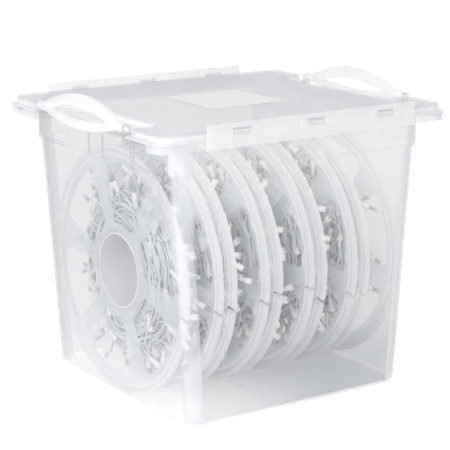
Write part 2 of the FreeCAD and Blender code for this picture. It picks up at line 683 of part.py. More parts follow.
def turned_at(profile, at, way):
    """A solid of revolution from (along, radius) points, set at a place along a direction."""
    points = [FreeCAD.Vector(radius, 0, along) for along, radius in profile]
    face = Part.Face(Part.makePolygon(points + points[:1]))
    solid = face.revolve(FreeCAD.Vector(), FreeCAD.Vector(0, 0, 1), 360)
    solid.Placement = FreeCAD.Placement(at, FreeCAD.Rotation(FreeCAD.Vector(0, 0, 1), way))
    return solid


def group(shapes):
    return Part.makeCompound(shapes)


tube, coil_start, coil_end = coil()
lamps = lamp_places([coil_start, coil_end])
holder_end = d.holder_length.number
mouth_radius = d.holder_mouth.number
holder = [(0, 0), (0, d.holder_base.number), (holder_end * 0.45, d.holder_base.number),
          (holder_end * 0.6, mouth_radius), (holder_end, mouth_radius), (holder_end, 0)]
bulb_shoulder = d.bulb_neck.number
bulb_end = bulb_shoulder + d.bulb_tip.number
bulb = [(0, 0), (0, d.bulb_radius.number), (bulb_shoulder, d.bulb_radius.number),
        (bulb_end, d.bulb_tip_radius.number), (bulb_end, 0)]
holders_shape = group([turned_at(holder, at, way) for at, way in lamps])
bulbs_shape = group([turned_at(bulb, at + way * holder_end, way) for at, way in lamps])
REEL_TURNS = (-1.5, -2.5, -5.5, 2, 3)


def fixed_shape(name, shape):
    piece = doc.addObject("Part::Feature", name)
    piece.Shape = shape
    return piece


for index in range(int(d.reels.number)):
    reel = f"reel_{index + 1}"
    across = reel_pitch * (index - (d.reels.number - 1) / 2)
    spin = FreeCAD.Rotation(FreeCAD.Vector(1, 0, 0), REEL_TURNS[index % len(REEL_TURNS)])
    core_length = core_half * 2
    core = cut(reel + "_wire_core_piece",
               rod(reel + "_core_full", "x", core_radius, core_length, -core_half, ZERO, ZERO),
               rod(reel + "_core_bore", "x", hub_outer + d.core_gap, core_length + 2, -core_half - 1,
                   ZERO, ZERO))
    made = {
        "near_half": reel_half(reel + "_near_half_piece", True),
        "far_half": reel_half(reel + "_far_half_piece", False),
        "wire_core": core,
        "wire_winding": fixed_shape(reel + "_wire_winding_piece", tube),
        "lamp_holders": fixed_shape(reel + "_lamp_holders_piece", holders_shape),
        "bulbs": fixed_shape(reel + "_bulbs_piece", bulbs_shape)}
    for part, piece in made.items():
        piece.Placement = FreeCAD.Placement(FreeCAD.Vector(), spin)
        place(piece, across, ZERO, reel_axis)
        pieces[f"{reel}_{part}"] = piece

doc.recompute()
os.makedirs("parts", exist_ok=True)
for item in doc.Objects:
    if {"Invalid", "Error"} & set(item.State):
        raise RuntimeError(f"{item.Name} did not build: {item.State}")
for node, piece in pieces.items():
    piece.Label = node
    shape = piece.Shape
    if shape.isNull() or not shape.isValid():
        raise RuntimeError(f"{node} has no valid shape")
    box_of = shape.BoundBox
    print(f"{node}: solids {len(shape.Solids)} volume {shape.Volume / 1000:.1f} cm3 "
          f"x {box_of.XMin:.1f}..{box_of.XMax:.1f} y {box_of.YMin:.1f}..{box_of.YMax:.1f} "
          f"z {box_of.ZMin:.1f}..{box_of.ZMax:.1f}")
    shape.exportStep(f"parts/{node}.step")
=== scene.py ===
"""Looks for a light string storage box: hazy plastics, wound wire packs, mini lamps and a white studio."""

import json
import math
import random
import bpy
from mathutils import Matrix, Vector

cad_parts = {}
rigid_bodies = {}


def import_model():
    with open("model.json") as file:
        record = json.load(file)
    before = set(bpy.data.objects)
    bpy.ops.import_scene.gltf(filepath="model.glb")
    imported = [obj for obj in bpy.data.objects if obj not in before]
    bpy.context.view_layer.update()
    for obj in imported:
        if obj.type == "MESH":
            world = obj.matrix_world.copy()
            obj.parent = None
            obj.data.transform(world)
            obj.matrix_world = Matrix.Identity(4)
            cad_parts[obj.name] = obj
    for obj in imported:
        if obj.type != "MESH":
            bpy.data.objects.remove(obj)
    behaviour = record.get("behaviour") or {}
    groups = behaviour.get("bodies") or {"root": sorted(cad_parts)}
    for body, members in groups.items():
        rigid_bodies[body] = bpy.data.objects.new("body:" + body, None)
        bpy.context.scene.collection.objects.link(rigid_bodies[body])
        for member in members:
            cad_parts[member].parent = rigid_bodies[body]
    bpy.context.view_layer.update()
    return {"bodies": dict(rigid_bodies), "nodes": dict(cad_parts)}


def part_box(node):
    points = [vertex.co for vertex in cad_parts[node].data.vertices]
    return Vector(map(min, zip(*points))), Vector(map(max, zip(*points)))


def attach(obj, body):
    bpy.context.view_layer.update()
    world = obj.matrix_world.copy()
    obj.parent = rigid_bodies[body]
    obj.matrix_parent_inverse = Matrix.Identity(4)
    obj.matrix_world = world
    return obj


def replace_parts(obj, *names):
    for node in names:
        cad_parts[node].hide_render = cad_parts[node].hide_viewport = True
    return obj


bl_info = {
    "name": "Light String Storage Box",
    "version": (1, 0, 0),
    "blender": (4, 5, 0),
    "location": "View3D > Sidebar > Light Box",
    "description": "Dresses the packed storage box: plastics, wound light strings, lamps and a white studio",
    "category": "Object",
}

import bpy
from mathutils import Matrix, Vector

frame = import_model()


def reel_place(reel):
    """Centre of a reel at rest, from the boxes of its two halves."""
    near_low, near_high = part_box(reel + "_near_half")
    far_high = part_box(reel + "_far_half")[1]
    spans = zip(near_low, (far_high[0], near_high[1], near_high[2]))
    return Vector([(low + high) / 2 for low, high in spans])


REELS = [name for name in frame["bodies"] if name.startswith("reel_")]
REEL_AXIS = reel_place(REELS[0]).z

# How far the tote's walls lean out for each metre up
END_DRAFT = 0.067
LONG_DRAFT = 0.0084

# Where the looks change, in metres, some of them painted light and shade: a soft step is none at its first
# value and full at its second
END_WALL = (0.1500, 0.1570)
# Heights of the painted light at the end walls' foot
END_FOOT_LIGHT = (0.17, 0.0)
# Heights of the painted shade at the long walls' foot
FOOT_SHADE = (0.115, 0.030)
LONG_TOP = (0.17, 0.31)
LIT_TO_SHADED_END = (-0.12, 0.08)
FLOOR = (0.0055, 0.0040)
CORNER_ALONG = (0.1315, 0.1355)
CORNER_ACROSS = (0.1440, 0.1490)
LID_RIM = (0.3468, 0.3445)
RIM_BAND = (0.1380, 0.1395)
GROOVE_RADIUS = 0.1452
GROOVE = (0.0013, 0.0005)
HUB_BORE = (0.0470, 0.0450)
PACK_FOOT = (0.0540, 0.0505)

# Values of the finishes, with reliefs in metres
PLASTIC_IOR = 1.49
FINE_RELIEF = 0.0002
PAPER_RELIEF = 0.0005
PACK_RELIEF = 0.002
PATCHES = [(0.3, 0.0), (0.7, 1.0)]
LEAD_TONES = ((0.30, 0.31, 0.32), (0.46, 0.47, 0.48))
PAPER_TONES = ((0.955, 0.965, 0.975), (0.975, 0.985, 0.995))

# The lid's levels and its label, in metres
LID_RIB_DEPTH = 0.0070
LID_TOP_RISE = 0.0105
LABEL_HALF_X = 0.0515
LABEL_HALF_Y = 0.0525
LABEL_BEND = 0.004
LABEL_THICK = 0.00018
LABEL_GAP = 0.00005

# Wire and lamp meshes: the hole is a radius in metres
HOLDER_HOLE = 0.0006
WIRE_SEED = 410
LAMP_SEED = 730
WIRE_SIDES = 5
LAMP_WIRE_SIDES = 4
HOLDER_SIDES = 9
BULB_SIDES = 7
LEAD_SIDES = 4
TURN_STEPS = 48
CORE_STEPS = 110
GOLDEN_SHARE = 0.618034

# Profiles from the wire's end to the tip: shares of a piece's length and radius
HOLDER_PROFILE = ((0.0, 0.66), (0.06, 0.74), (0.45, 0.78), (0.52, 0.96), (0.60, 1.0),
                  (0.92, 1.0), (0.97, 0.94), (1.0, 0.80), (1.0, 0.5))
GLASS_PROFILE = ((-0.08, 0.9), (0.10, 1.0), (0.35, 1.04), (0.58, 0.98), (0.74, 0.78), (0.85, 0.48),
                 (0.93, 0.22), (1.0, 0.05))
LEAD_PROFILE = ((0.02, 0.20), (0.45, 0.20), (0.52, 0.42), (0.58, 0.16), (0.62, 0.05))

# The studio and the camera
IMAGE_SIDE = 450
SENSOR = 36.0
NEAREST_SEEN = 0.05
FLOOR_REACH = 6.0
FLOOR_LEVELS = (-0.02, -0.0004)
LAMP_AIM = Vector((0, 0, 0.18))
SKINS_SEEN_THROUGH = 96


# Properties


class PlasticSettings(bpy.types.PropertyGroup):
    """Colours and haze of the moulded plastics."""

    tote_colour: bpy.props.FloatVectorProperty(
        name="Tote colour", description="Body colour of the tote's wall",
        subtype="COLOR", default=(0.50, 0.525, 0.55))
    # Partly a milkier moulding, partly painted light: a painted highlight on the corners, painted light on
    # the floor and the lower ends
    milky_and_painted_light_colour: bpy.props.FloatVectorProperty(
        name="Tote corner colour", description="Colour of the tote's corners, floor and lower ends",
        subtype="COLOR", default=(0.81, 0.83, 0.855))
    end_colour: bpy.props.FloatVectorProperty(
        name="Tote end colour", description="Colour of the tote's two end walls",
        subtype="COLOR", default=(0.45, 0.475, 0.505))
    # Painted shade: this darker grey stands for the shade inside the tote at the long walls' foot
    foot_colour: bpy.props.FloatVectorProperty(
        name="Tote foot colour", description="Colour of the long walls just above the floor",
        subtype="COLOR", default=(0.40, 0.43, 0.46))
    tote_haze: bpy.props.FloatProperty(
        name="Tote haze", description="How much each skin of the wall hides",
        subtype="FACTOR", default=0.12, min=0, max=1)
    lid_colour: bpy.props.FloatVectorProperty(
        name="Lid colour", description="Body colour of the lid",
        subtype="COLOR", default=(0.655, 0.685, 0.715))
    lid_rim_colour: bpy.props.FloatVectorProperty(
        name="Rim colour", description="Colour of the lid's rim and of the top of the tote's long walls",
        subtype="COLOR", default=(0.92, 0.935, 0.95))
    lid_haze: bpy.props.FloatProperty(
        name="Lid haze", description="How much each skin of the lid hides",
        subtype="FACTOR", default=0.32, min=0, max=1)
    white_colour: bpy.props.FloatVectorProperty(
        name="Latch and handle colour", description="Body colour of the latches and handles",
        subtype="COLOR", default=(0.93, 0.94, 0.95))
    white_haze: bpy.props.FloatProperty(
        name="Latch and handle haze", description="How much each skin of a latch or handle hides",
        subtype="FACTOR", default=0.46, min=0, max=1)
    reel_colour: bpy.props.FloatVectorProperty(
        name="Reel colour", description="Body colour of the reels",
        subtype="COLOR", default=(0.885, 0.91, 0.935))
    hub_colour: bpy.props.FloatVectorProperty(
        name="Hub and rim colour", description="Colour of the reels' thick hubs and rims",
        subtype="COLOR", default=(0.97, 0.975, 0.985))
    reel_haze: bpy.props.FloatProperty(
        name="Reel haze", description="How much each skin of a reel hides",
        subtype="FACTOR", default=0.34, min=0, max=1)


class StringSettings(bpy.types.PropertyGroup):
    """The wound light strings."""

    wire_radius: bpy.props.FloatProperty(
        name="Wire radius", description="Radius of one insulated wire",
        subtype="DISTANCE", default=0.00115)
    bore_radius: bpy.props.FloatProperty(
        name="Pack bore", description="Radius of the pack where it sits on the hub",
        subtype="DISTANCE", default=0.0495)
    side_radius: bpy.props.FloatProperty(
        name="Pack radius at its sides", description="Radius of the wound pack next to the flanges",
        subtype="DISTANCE", default=0.080)
    crown_radius: bpy.props.FloatProperty(
        name="Pack radius at its crown", description="Radius of the wound pack half way between the flanges",
        subtype="DISTANCE", default=0.092)
    pack_half: bpy.props.FloatProperty(
        name="Pack half width", description="Half the width of the wound pack",
        subtype="DISTANCE", default=0.0150)
    room_half: bpy.props.FloatProperty(
        name="Half room", description="Half the room for wire between the flanges",
        subtype="DISTANCE", default=0.0205)
    outer_turns: bpy.props.IntProperty(
        name="Outer turns", description="Turns seen on the outside of a pack", default=30)
    side_turns: bpy.props.IntProperty(
        name="Side turns", description="Turns seen on each side of a pack", default=4)
    side_strands: bpy.props.IntProperty(
        name="Side strands", description="Stray lengths that cross each side of a pack", default=60)
    outer_loops: bpy.props.IntProperty(
        name="Outer loops", description="Loose loops that stand off the outside of a pack", default=22)
    wire_colour: bpy.props.FloatVectorProperty(
        name="Wire colour", description="Colour of the wire's cover",
        subtype="COLOR", default=(0.90, 0.925, 0.935))
    # Painted shade: the wire is pale, and this dark tone stands for the shade deep in the pack
    pack_shade_colour: bpy.props.FloatVectorProperty(
        name="Pack colour", description="Colour deep inside the pack",
        subtype="COLOR", default=(0.46, 0.49, 0.50))
    pack_foot_colour: bpy.props.FloatVectorProperty(
        name="Pack foot colour", description="Colour of the pack next to the hub",
        subtype="COLOR", default=(0.86, 0.87, 0.87))


class LampSettings(bpy.types.PropertyGroup):
    """The mini lamps on the strings."""

    holder_length: bpy.props.FloatProperty(
        name="Holder length", description="Length of a lamp holder",
        subtype="DISTANCE", default=0.018)
    holder_radius: bpy.props.FloatProperty(
        name="Holder radius", description="Radius of a holder's mouth",
        subtype="DISTANCE", default=0.0039)
    bulb_length: bpy.props.FloatProperty(
        name="Bulb length", description="Length of the glass outside the holder",
        subtype="DISTANCE", default=0.0125)
    bulb_radius: bpy.props.FloatProperty(
        name="Bulb radius", description="Radius of the glass",
        subtype="DISTANCE", default=0.0026)
    outer_lamps: bpy.props.IntProperty(
        name="Outer lamps", description="Lamps on the outside of a pack", default=66)
    side_lamps: bpy.props.IntProperty(
        name="Side lamps", description="Lamps on each side of a pack", default=20)
    holder_colour: bpy.props.FloatVectorProperty(
        name="Holder colour", description="Colour of the lamp holders",
        subtype="COLOR", default=(0.955, 0.96, 0.955))
    glass_colour: bpy.props.FloatVectorProperty(
        name="Glass colour", description="Tint of the bulbs",
        subtype="COLOR", default=(0.62, 0.64, 0.65))


class StageSettings(bpy.types.PropertyGroup):
    """Studio and camera."""

    sky_strength: bpy.props.FloatProperty(
        name="Fill strength", description="Strength of the even fill light", default=0.58)
    floor_colour: bpy.props.FloatVectorProperty(
        name="Floor colour", description="Colour of the studio floor",
        subtype="COLOR", default=(0.86, 0.86, 0.86))
    floor_glow: bpy.props.FloatProperty(
        name="Floor glow", description="How far the floor is lifted towards white where it is looked at",
        default=0.53)
    key_place: bpy.props.FloatVectorProperty(
        name="Key lamp place", description="Place of the large lamp at the left",
        subtype="TRANSLATION", default=(-2.0, -1.0, 1.3))
    key_size: bpy.props.FloatProperty(
        name="Key lamp size", description="Width of the large lamp at the left",
        subtype="DISTANCE", default=1.8)
    key_power: bpy.props.FloatProperty(
        name="Key power", description="Power of the large lamp at the left",
        subtype="POWER", default=31)
    front_place: bpy.props.FloatVectorProperty(
        name="Front lamp place", description="Place of the large lamp in front",
        subtype="TRANSLATION", default=(-0.9, -2.3, 0.9))
    front_size: bpy.props.FloatProperty(
        name="Front lamp size", description="Width of the large lamp in front",
        subtype="DISTANCE", default=2.0)
    front_power: bpy.props.FloatProperty(
        name="Front power", description="Power of the large lamp in front",
        subtype="POWER", default=10)
    camera_turn: bpy.props.FloatProperty(
        name="Camera turn", description="Turn of the camera round the box",
        subtype="ANGLE", default=math.radians(-34.3))
    camera_rise: bpy.props.FloatProperty(
        name="Camera rise", description="Height angle of the camera",
        subtype="ANGLE", default=math.radians(13.7))
    camera_distance: bpy.props.FloatProperty(
        name="Camera distance", description="Distance to the aim point",
        subtype="DISTANCE", default=2.0)
    aim_height: bpy.props.FloatProperty(
        name="Aim height", description="Height of the aim point",
        subtype="DISTANCE", default=0.190)
    lens_pixels: bpy.props.FloatProperty(
        name="Lens in pixels", description="Focal length measured in picture points", default=1604.0)


GROUPS = {
    "plastics": PlasticSettings,
    "strings": StringSettings,
    "lamps": LampSettings,
    "stage": StageSettings,
}


# Finishes


class Signal:
    """A node's output that takes part in Python arithmetic."""

    def __init__(self, finish, socket):
        self.finish = finish
        self.socket = socket

    def _math(self, operation, first, second):
        return self.finish.node("ShaderNodeMath", {"operation": operation}, {0: first, 1: second})

    def __add__(self, other):
        return self._math("ADD", self, other)

    __radd__ = __add__

    def __mul__(self, other):
        return self._math("MULTIPLY", self, other)

    __rmul__ = __mul__

    def __sub__(self, other):
        return self._math("SUBTRACT", self, other)

    def __rsub__(self, other):
        return self._math("SUBTRACT", other, self)

    def __pow__(self, other):
        return self._math("POWER", self, other)

    def __rpow__(self, other):
        return self._math("POWER", other, self)

    def __abs__(self):
        return self._math("ABSOLUTE", self, 0)


class Finish:
    """The nodes of one material or of the sky."""

    def __init__(self, owner):
        self.owner = owner
        owner.use_nodes = True
        self.tree = owner.node_tree
        self.tree.nodes.clear()

    def node(self, kind, settings=None, inputs=None, out=0):
        """Add a node, set it up, feed its sockets and hand back one of its outputs."""
        node = self.tree.nodes.new(kind)
        for key, value in (settings or {}).items():
            if key == "stops":
                for stop, (position, tone) in zip(node.color_ramp.elements, value):
                    stop.position = position
                    stop.color = (tone, tone, tone, 1)
            else:
                setattr(node, key, value)
        for key, value in (inputs or {}).items():
            self.feed(node.inputs[key], value)
        return Signal(self, node.outputs[out]) if node.outputs else None

    def feed(self, socket, value):
        """Link a signal to a socket, or set the socket's own value."""
        if isinstance(value, Signal):
            self.tree.links.new(value.socket, socket)
        elif hasattr(value, "__len__") and len(value) == 3 and socket.type == "RGBA":
            socket.default_value = (*value, 1)
        else:
            socket.default_value = value

    def place(self):
        return self.node("ShaderNodeTexCoord", out="Object")

    def noise(self, where, scale, detail):
        inputs = {"Vector": where, "Scale": scale, "Detail": detail}
        return self.node("ShaderNodeTexNoise", None, inputs, "Fac")

    def mix(self, amount, first, second):
        return self.node("ShaderNodeMix", {"data_type": "RGBA"}, {0: amount, 6: first, 7: second}, 2)

    def drift(self, amount, colour, dark, light):
        """A colour that drifts between a darker and a lighter share of itself."""
        return self.mix(amount, scaled(colour, dark), scaled(colour, light))

    def ramp(self, value, stops):
        """A grey ramp through two stops."""
        return self.node("ShaderNodeValToRGB", {"stops": stops}, {"Fac": value}, "Color")

    def clamp(self, value, low=0.0, high=1.0):
        return self.node("ShaderNodeClamp", None, {"Value": value, "Min": low, "Max": high})

    def bump(self, height, strength, distance):
        inputs = {"Height": height, "Strength": strength, "Distance": distance}
        return self.node("ShaderNodeBump", None, inputs, "Normal")

    def edge_on(self, blend):
        """Nought where a surface faces the eye, one where it is seen edge on."""
        return self.node("ShaderNodeLayerWeight", None, {"Blend": blend}, "Facing")

    def rays(self, *kinds):
        """One signal for each kind of ray."""
        return [self.node("ShaderNodeLightPath", out=f"Is {kind} Ray") for kind in kinds]

    def seen(self):
        """One for what the camera, mirrors and glass look at, nought for stray light."""
        camera, mirror, glass = self.rays("Camera", "Glossy", "Transmission")
        return self.clamp(camera + mirror + glass)

    def cover_met(self, passed):
        """Share of a cover that a ray meets: all for looking rays, less for shadow and stray light."""
        shadow, stray = self.rays("Shadow", "Diffuse")
        return 1 - (shadow + stray) * passed

    def close(self, shader, end="ShaderNodeOutputMaterial"):
        self.node(end, None, {"Surface": shader})
        return self.owner

    def surface(self, inputs):
        return self.close(self.node("ShaderNodeBsdfPrincipled", None, inputs, "BSDF"))


def finish_named(name):
    return Finish(bpy.data.materials.new(name))


def scaled(colour, amount):
    return tuple(channel * amount for channel in colour)


def swing(noise, amount):
    """A noise of 0 to 1 as a swing about nought."""
    return (noise - 0.5) * amount


def moulded_plastic(name, colour, haze, roughness, edge, grain, thick=()):
    """Hazy moulded plastic: faint clouds and tool grain, denser where it is thick or seen edge on.

    It scatters light instead of stopping it, so shadow and stray light meet only part of its haze.
    A thick place is a function that gives its share of 0 to 1, with its colour and its added haze.
    """
    finish = finish_named(name)
    where = finish.place()
    cloud = finish.noise(where, scale=9.0, detail=3.0)
    tooled = finish.noise(where, scale=1400.0, detail=2.0)
    flow = finish.noise(where, scale=60.0, detail=4.0)
    edge_haze = (finish.edge_on(blend=0.35) ** 2.2) * edge
    alpha = haze + swing(cloud, 0.05) + edge_haze
    tone = finish.drift(finish.ramp(cloud, PATCHES), colour, dark=0.96, light=1.03)
    for place, stout, more in thick:
        share = place(finish, where)
        alpha = alpha + share * more
        tone = finish.mix(share, tone, stout)
    material = finish.surface({
        "Base Color": tone,
        "Roughness": roughness + swing(flow, 0.14),
        "Alpha": finish.clamp(alpha, low=0.02) * finish.cover_met(passed=0.80),
        "IOR": PLASTIC_IOR,
        "Normal": finish.bump(tooled * 0.7 + flow * 0.3, grain, FINE_RELIEF)})
    material.surface_render_method = "BLENDED"
    return material


def axes(finish, where):
    return [finish.node("ShaderNodeSeparateXYZ", None, {0: where}, axis) for axis in "XYZ"]


def eased(finish, value, limits):
    """A soft step from 0 at the first limit to 1 at the second."""
    low, high = limits
    return finish.node("ShaderNodeMapRange", {"interpolation_type": "SMOOTHSTEP"},
                       {"Value": value, "From Min": low, "From Max": high})


def at_ends(finish, where):
    """The tote's end walls, which lean out by their draft."""
    x, _, z = axes(finish, where)
    return eased(finish, abs(x) - z * END_DRAFT, END_WALL)


def at_end_foot_painted_light(finish, where):
    """The end walls are painted whiter towards the foot: partly a milkier look, partly painted light from the
    floor and the lamp at the left.
    """
    return at_ends(finish, where) * eased(finish, axes(finish, where)[2], END_FOOT_LIGHT)


def at_floor(finish, where):
    """The tote's floor, clearer and painted lighter: partly milkier plastic, partly painted light that comes
    in through the end wall.
    """
    return eased(finish, axes(finish, where)[2], FLOOR)


def at_painted_foot_shade(finish, where):
    """Painted shade on the long walls at the foot, where the shaded inside shows through, most at the end
    that is turned from the light.
    """
    least = 0.25
    x, _, z = axes(finish, where)
    away = least + (1 - least) * eased(finish, x, LIT_TO_SHADED_END)
    return (1 - at_ends(finish, where)) * eased(finish, z, FOOT_SHADE) * away


def at_top(finish, where):
    """The tote's long walls are milkier towards the rim."""
    return (1 - at_ends(finish, where)) * eased(finish, axes(finish, where)[2], LONG_TOP)


def at_corners(finish, where):
    """The tote's upright corners, most where they run into the long walls: denser, milkier plastic, painted
    lighter as a painted highlight down the rounded corners.
    """
    x, y, z = axes(finish, where)
    past_flat = eased(finish, abs(x) - z * END_DRAFT, CORNER_ALONG)
    return past_flat * eased(finish, abs(y) - z * LONG_DRAFT, CORNER_ACROSS)


def at_lid_rim(finish, where):
    """The lid's seat, skirt and rib, below its top panel."""
    return eased(finish, axes(finish, where)[2], LID_RIM)


def from_axis(finish, where):
    """Distance from the reels' common axis."""
    _, along, up = axes(finish, where)
    up = up - REEL_AXIS
    return (up * up + along * along) ** 0.5


def at_rim(finish, where):
    """A reel's rim band."""
    return eased(finish, from_axis(finish, where), RIM_BAND)


def at_groove(finish, where):
    """The fine line round a rim band's face."""
    return eased(finish, abs(from_axis(finish, where) - GROOVE_RADIUS), GROOVE)


def at_hub(finish, where):
    """The bore of a reel's hub."""
    return eased(finish, from_axis(finish, where), HUB_BORE)


def wire_cover(name, colour):
    """Soft wire insulation with faint dirt and a matte sheen."""
    finish = finish_named(name)
    where = finish.place()
    patch = finish.noise(where, scale=55.0, detail=3.0)
    fine = finish.noise(where, scale=900.0, detail=2.0)
    return finish.surface({
        "Base Color": finish.drift(finish.ramp(patch, PATCHES), colour, dark=0.82, light=1.04),
        "Roughness": 0.42 + swing(fine, 0.2),
        "Normal": finish.bump(fine, 0.15, FINE_RELIEF)})


def pack_shade(name, colour, foot_colour):
    """The inside of the wire pack in painted shade: a dark tone, darker still in the gaps between buried
    turns, with pale patches at random and the wire's own pale colour next to the hub; some light still gets
    through it.
    """
    finish = finish_named(name)
    where = finish.place()
    broad = finish.noise(where, scale=48.0, detail=4.0)
    gaps = finish.node("ShaderNodeTexVoronoi", {"feature": "DISTANCE_TO_EDGE"},
                       {"Vector": where, "Scale": 210.0}, "Distance")
    out_of_gaps = finish.ramp(gaps, [(0.0, 0.0), (0.12, 1.0)])
    pale_patches = finish.ramp(broad, [(0.35, 0.0), (0.7, 1.0)])
    # Painted shade in the gaps between buried turns, lighter out of them
    tone = finish.drift(out_of_gaps, colour, dark=0.55, light=1.25)
    tone = finish.mix(pale_patches, tone, scaled(colour, 1.7))
    tone = finish.mix(eased(finish, from_axis(finish, where), PACK_FOOT), tone, foot_colour)
    return finish.surface({
        "Base Color": tone,
        "Alpha": finish.cover_met(passed=0.85),
        "Roughness": 0.6 + swing(broad, 0.2),
        "Normal": finish.bump(gaps, 0.6, PACK_RELIEF)})


def holder_plastic(name, colour):
    """Glossy white lamp holder, a touch darker in patches."""
    finish = finish_named(name)
    where = finish.place()
    patch = finish.noise(where, scale=70.0, detail=2.0)
    fine = finish.noise(where, scale=1200.0, detail=2.0)
    return finish.surface({
        "Base Color": finish.drift(patch, colour, dark=0.92, light=1.03),
        "Roughness": 0.24 + fine * 0.14,
        "Normal": finish.bump(fine, 0.08, FINE_RELIEF)})


def bulb_glass(name, colour):
    """Thin clear glass with a denser edge."""
    finish = finish_named(name)
    streak = finish.noise(finish.place(), scale=260.0, detail=2.0)
    edge_haze = (finish.edge_on(blend=0.5) ** 1.5) * 0.62
    material = finish.surface({
        "Base Color": finish.drift(streak, colour, dark=0.8, light=1.15),
        "Roughness": 0.05 + streak * 0.05,
        "Alpha": finish.clamp(0.16 + edge_haze, low=0.05, high=0.9)})
    material.surface_render_method = "BLENDED"
    return material


def lead_metal(name):
    """Dark filament leads."""
    finish = finish_named(name)
    fleck = finish.noise(finish.place(), scale=800.0, detail=2.0)
    return finish.surface({
        "Base Color": finish.mix(fleck, *LEAD_TONES),
        "Roughness": 0.35 + fleck * 0.1,
        "Metallic": 0.6})


def label_paper(name):
    """Plain coated paper."""
    finish = finish_named(name)
    where = finish.place()
    fibre = finish.noise(where, scale=700.0, detail=4.0)
    wave = finish.noise(where, scale=25.0, detail=2.0)
    return finish.surface({
        "Base Color": finish.mix(fibre, *PAPER_TONES),
        "Roughness": 0.42 + fibre * 0.15,
        "Normal": finish.bump(fibre * 0.3 + wave, 0.15, PAPER_RELIEF)})


def studio_white(name, tone, glow):
    """A pale surface that the camera, mirrors and glass see as white, with the shadow kept."""
    finish = finish_named(name)
    grain = finish.noise(finish.place(), scale=30.0, detail=2.0)
    colour = finish.drift(grain, tone, dark=0.99, light=1.0)
    matte = finish.node("ShaderNodeBsdfDiffuse", None, {"Color": colour, "Roughness": 0.3}, "BSDF")
    lit = finish.node("ShaderNodeEmission", None, {"Color": (1, 1, 1), "Strength": glow}, "Emission")
    both = finish.node("ShaderNodeAddShader", None, {0: matte, 1: lit})
    return finish.close(finish.node("ShaderNodeMixShader", None, {0: finish.seen(), 1: matte, 2: both}))


# Meshes


def turns(count):
    """Even angles round a circle."""
    return [math.tau * index / count for index in range(count)]


def shares(steps):
    """Even shares from 0 to 1."""
    return [index / steps for index in range(steps + 1)]


def between(first, last, part):
    return first + (last - first) * part


def held(value, limit):
    return max(-limit, min(limit, value))


class Shape:
    """Vertices and faces gathered into one mesh."""

    def __init__(self):
        self.points = []
        self.faces = []

    def rings(self, rings, loop=False):
        """Skin a row of equal rings of points; ends are capped unless the row is a loop."""
        start = len(self.points)
        sides = len(rings[0])
        for ring in rings:
            self.points.extend(tuple(point) for point in ring)
        count = len(rings)
        for row in range(count if loop else count - 1):
            here = start + row * sides
            there = start + ((row + 1) % count) * sides
            for side in range(sides):
                after = (side + 1) % sides
                self.faces.append((here + side, here + after, there + after, there + side))
        if not loop:
            self.faces.append(tuple(reversed(range(start, start + sides))))
            self.faces.append(tuple(range(start + (count - 1) * sides, start + count * sides)))

    def tube(self, path, radius, sides=WIRE_SIDES, loop=False):
        """A round tube along a path of points."""
        count = len(path)
        rings = []
        normal = None
        for index in range(count):
            before = path[index - 1] if index or loop else path[index]
            after = path[(index + 1) % count] if index + 1 < count or loop else path[index]
            along = (after - before).normalized()
            if normal is None:
                normal = along.orthogonal().normalized()
            normal = (normal - along * normal.dot(along)).normalized()
            side = along.cross(normal)
            rings.append([path[index] + normal * (radius * math.cos(turn)) + side * (radius * math.sin(turn))
                          for turn in turns(sides)])
        if loop:
            twist = self.best_turn(rings[-1], rings[0])
            rings[-1] = rings[-1][twist:] + rings[-1][:twist]
        self.rings(rings, loop)

    @staticmethod
    def best_turn(ring, other):
        """How far to turn a ring's numbering so that it runs on into another."""
        sides = len(ring)

        def apart(turn):
            return sum((ring[(side + turn) % sides] - other[side]).length for side in range(sides))

        return min(range(sides), key=apart)

    def turned(self, profile, place, sides):
        """A turned form from (along, radius) points, set by a matrix whose Z runs along it."""
        rings = []
        for along, radius in profile:
            rings.append([place @ Vector((radius * math.cos(turn), radius * math.sin(turn), along))
                          for turn in turns(sides)])
        self.rings(rings)

    def finish(self, name, material, body, slot, smooth=True):
        """Make the mesh a piece of the scene that rides a body."""
        mesh = bpy.data.meshes.new(name)
        mesh.from_pydata(self.points, [], self.faces)
        mesh.validate()
        if smooth:
            mesh.polygons.foreach_set("use_smooth", [True] * len(mesh.polygons))
        mesh.materials.append(material)
        piece = bpy.data.objects.new(name, mesh)
        bpy.context.scene.collection.objects.link(piece)
        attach(piece, body)
        return piece


def round_about(centre, angle, radius, across):
    """A point round a reel's axis; the angle runs from the front up and over."""
    return centre + Vector((across, -radius * math.cos(angle), radius * math.sin(angle)))


def wander(rng, size, orders):
    """A smooth closed wave with random parts."""
    parts = []
    for order in orders:
        much = rng.uniform(-1, 1) * size / math.sqrt(order)
        shift = rng.uniform(0, math.tau)
        parts.append((order, much, shift))
    return lambda angle: sum(much * math.cos(order * angle + shift) for order, much, shift in parts)


def crown(across, sets):
    """Radius of the pack's outside at a place across it."""
    part = min(1.0, abs(across) / sets.pack_half)
    return sets.side_radius + (sets.crown_radius - sets.side_radius) * (1 - part * part)


def wind_outside(shape, centre, rng, sets):
    """The turns on the outside of a pack, in three layers that sway and rise as they go round."""
    spread = 0.92
    sway_size = 0.0050
    rise_size = 0.0024
    layers = 3
    first_layer = 0.7
    layer_step = 1.8
    wire = sets.wire_radius
    room = sets.room_half - wire
    for number in range(sets.outer_turns):
        spot = room * spread * (2 * ((number * GOLDEN_SHARE) % 1.0) - 1)
        sway = wander(rng, sway_size, (1, 2, 3, 5))
        rise = wander(rng, rise_size, (2, 3, 5, 7))
        level = wire * (first_layer + layer_step * (number % layers))
        path = []
        for angle in turns(TURN_STEPS):
            across = held(spot + sway(angle), room)
            path.append(round_about(centre, angle, crown(across, sets) + level + rise(angle), across))
        shape.tube(path, wire, loop=True)


